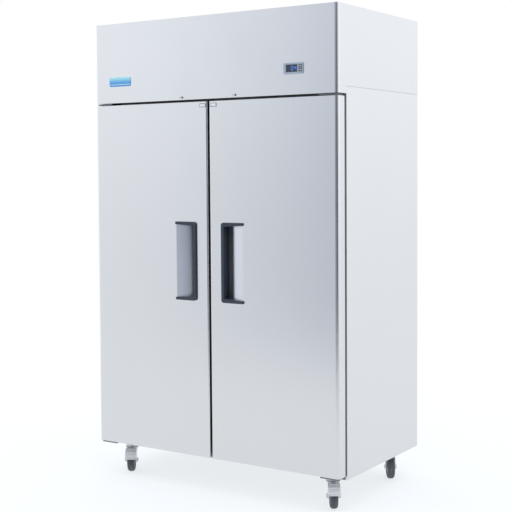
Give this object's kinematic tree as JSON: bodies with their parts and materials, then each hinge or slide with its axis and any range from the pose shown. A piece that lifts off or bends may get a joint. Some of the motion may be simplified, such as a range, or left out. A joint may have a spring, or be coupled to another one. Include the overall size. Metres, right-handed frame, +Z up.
{
  "type": "reach in refrigerator",
  "caption": "Two-door stainless reach-in refrigerator on castors, with recessed door grips, wire shelves and a top-mounted cooling unit",
  "frame": {"origin": "on the floor, midway between the sides and midway between the handles' front and the back panel", "axes": "+Z up, +X to the right seen from the front, +Y towards the back"},
  "size_m": [1.2, 0.708, 1.951],
  "materials": {
    "stainless": "satin",
    "stainless_inner": "satin",
    "galvanised": "matte",
    "zinc_plate": "satin",
    "aluminium_fins": "satin",
    "copper": "satin",
    "black_paint": "satin",
    "coated_wire": "satin",
    "slate_plastic": "matte",
    "grey_plastic": "matte",
    "white_plastic": "satin",
    "black_plastic": "satin",
    "silver_plastic": "satin",
    "blue_plate": "gloss",
    "display_glass": "gloss",
    "gasket_rubber": "matte",
    "tyre_rubber": "matte",
    "foam": "matte"
  },
  "bodies": {
    "cabinet": {"back_panel": "stainless", "badge_plate": "blue_plate", "cable_gland": "black_plastic", "castor_plates": "zinc_plate", "compressor": "black_paint", "condenser_coil": "aluminium_fins", "condenser_fan_motor": "black_paint", "condenser_shroud": "galvanised", "controller_bezel": "silver_plastic", "controller_display": "display_glass", "deck_panels": "galvanised", "electrical_box": "grey_plastic", "evaporator_coil": "aluminium_fins", "evaporator_cover": "stainless_inner", "face_frame": "grey_plastic", "fascia_fasteners": "zinc_plate", "foam_insulation": "foam", "hinge_brackets": "zinc_plate", "housing_back": "galvanised", "inner_liner": "stainless_inner", "mullion": "stainless", "refrigerant_pipes": "copper", "shelf_clips": "stainless_inner", "shelf_pilasters": "stainless_inner", "side_panel_left": "stainless", "side_panel_right": "stainless", "top_housing": "stainless", "wire_shelves": "coated_wire"},
    "door_left": {"door_skin_left": "stainless", "door_core_left": "foam", "door_liner_left": "grey_plastic", "door_gasket_left": "gasket_rubber", "door_handle_left": "slate_plastic", "handle_scoop_left": "stainless_inner", "corner_tab_left": "white_plastic", "hinge_bushes_left": "white_plastic"},
    "door_right": {"door_skin_right": "stainless", "door_core_right": "foam", "door_liner_right": "grey_plastic", "door_gasket_right": "gasket_rubber", "door_handle_right": "slate_plastic", "handle_scoop_right": "stainless_inner", "corner_tab_right": "white_plastic", "hinge_bushes_right": "white_plastic"},
    "key_power": {"button_power": "black_plastic"},
    "key_set": {"button_set": "black_plastic"},
    "key_up": {"button_up": "black_plastic"},
    "key_down": {"button_down": "black_plastic"},
    "condenser_rotor": {"condenser_fan": "black_plastic"},
    "evaporator_rotor": {"evaporator_fan": "black_plastic"},
    "castor_front_left": {"castor_fork_front_left": "zinc_plate"},
    "wheel_front_left": {"castor_wheel_front_left": "tyre_rubber"},
    "pedal_front_left": {"brake_pedal_front_left": "zinc_plate"},
    "castor_front_right": {"castor_fork_front_right": "zinc_plate"},
    "wheel_front_right": {"castor_wheel_front_right": "tyre_rubber"},
    "pedal_front_right": {"brake_pedal_front_right": "zinc_plate"},
    "castor_rear_left": {"castor_fork_rear_left": "zinc_plate"},
    "wheel_rear_left": {"castor_wheel_rear_left": "tyre_rubber"},
    "castor_rear_right": {"castor_fork_rear_right": "zinc_plate"},
    "wheel_rear_right": {"castor_wheel_rear_right": "tyre_rubber"}
  },
  "joints": [
    {"name": "door_left_hinge", "type": "hinge", "parent": "cabinet", "child": "door_left", "pos_m": [-0.578, -0.324, 0.8735], "axis": [0, 0, -1], "range_deg": [0, 110], "stiffness_Nm_per_rad": 3, "springref_deg": -17.19},
    {"name": "door_right_hinge", "type": "hinge", "parent": "cabinet", "child": "door_right", "pos_m": [0.578, -0.324, 0.8735], "axis": [0, 0, 1], "range_deg": [0, 110], "stiffness_Nm_per_rad": 3, "springref_deg": -17.19},
    {"name": "button_power_press", "type": "slide", "parent": "cabinet", "child": "key_power", "axis": [0, 1, 0], "range_m": [0, 0.001], "stiffness_N_per_m": 400, "springref_m": -0.0005},
    {"name": "button_set_press", "type": "slide", "parent": "cabinet", "child": "key_set", "axis": [0, 1, 0], "range_m": [0, 0.001], "stiffness_N_per_m": 400, "springref_m": -0.0005},
    {"name": "button_up_press", "type": "slide", "parent": "cabinet", "child": "key_up", "axis": [0, 1, 0], "range_m": [0, 0.001], "stiffness_N_per_m": 400, "springref_m": -0.0005},
    {"name": "button_down_press", "type": "slide", "parent": "cabinet", "child": "key_down", "axis": [0, 1, 0], "range_m": [0, 0.001], "stiffness_N_per_m": 400, "springref_m": -0.0005},
    {"name": "condenser_fan_spin", "type": "hinge", "parent": "cabinet", "child": "condenser_rotor", "pos_m": [-0.23, -0.134, 1.768], "axis": [0, 1, 0], "continuous": true},
    {"name": "evaporator_fan_spin", "type": "hinge", "parent": "cabinet", "child": "evaporator_rotor", "pos_m": [0, 0.06, 1.52], "axis": [0, 0, 1], "continuous": true},
    {"name": "castor_front_left_swivel", "type": "hinge", "parent": "cabinet", "child": "castor_front_left", "pos_m": [-0.51, -0.233, 0.104], "axis": [0, 0, 1], "continuous": true},
    {"name": "wheel_front_left_roll", "type": "hinge", "parent": "castor_front_left", "child": "wheel_front_left", "pos_m": [-0.49039, -0.26319, 0.05], "axis": [0.8387, 0.5446, 0], "continuous": true},
    {"name": "brake_front_left_pedal", "type": "hinge", "parent": "castor_front_left", "child": "pedal_front_left", "pos_m": [-0.49039, -0.26319, 0.05], "axis": [-0.8387, -0.5446, 0], "range_deg": [0, 15]},
    {"name": "castor_front_right_swivel", "type": "hinge", "parent": "cabinet", "child": "castor_front_right", "pos_m": [0.51, -0.233, 0.104], "axis": [0, 0, 1], "continuous": true},
    {"name": "wheel_front_right_roll", "type": "hinge", "parent": "castor_front_right", "child": "wheel_front_right", "pos_m": [0.52961, -0.26319, 0.05], "axis": [0.8387, 0.5446, 0], "continuous": true},
    {"name": "brake_front_right_pedal", "type": "hinge", "parent": "castor_front_right", "child": "pedal_front_right", "pos_m": [0.52961, -0.26319, 0.05], "axis": [-0.8387, -0.5446, 0], "range_deg": [0, 15]},
    {"name": "castor_rear_left_swivel", "type": "hinge", "parent": "cabinet", "child": "castor_rear_left", "pos_m": [-0.51, 0.264, 0.104], "axis": [0, 0, 1], "continuous": true},
    {"name": "wheel_rear_left_roll", "type": "hinge", "parent": "castor_rear_left", "child": "wheel_rear_left", "pos_m": [-0.49039, 0.23381, 0.05], "axis": [0.8387, 0.5446, 0], "continuous": true},
    {"name": "castor_rear_right_swivel", "type": "hinge", "parent": "cabinet", "child": "castor_rear_right", "pos_m": [0.51, 0.264, 0.104], "axis": [0, 0, 1], "continuous": true},
    {"name": "wheel_rear_right_roll", "type": "hinge", "parent": "castor_rear_right", "child": "wheel_rear_right", "pos_m": [0.52961, 0.23381, 0.05], "axis": [0.8387, 0.5446, 0], "continuous": true}
  ]
}
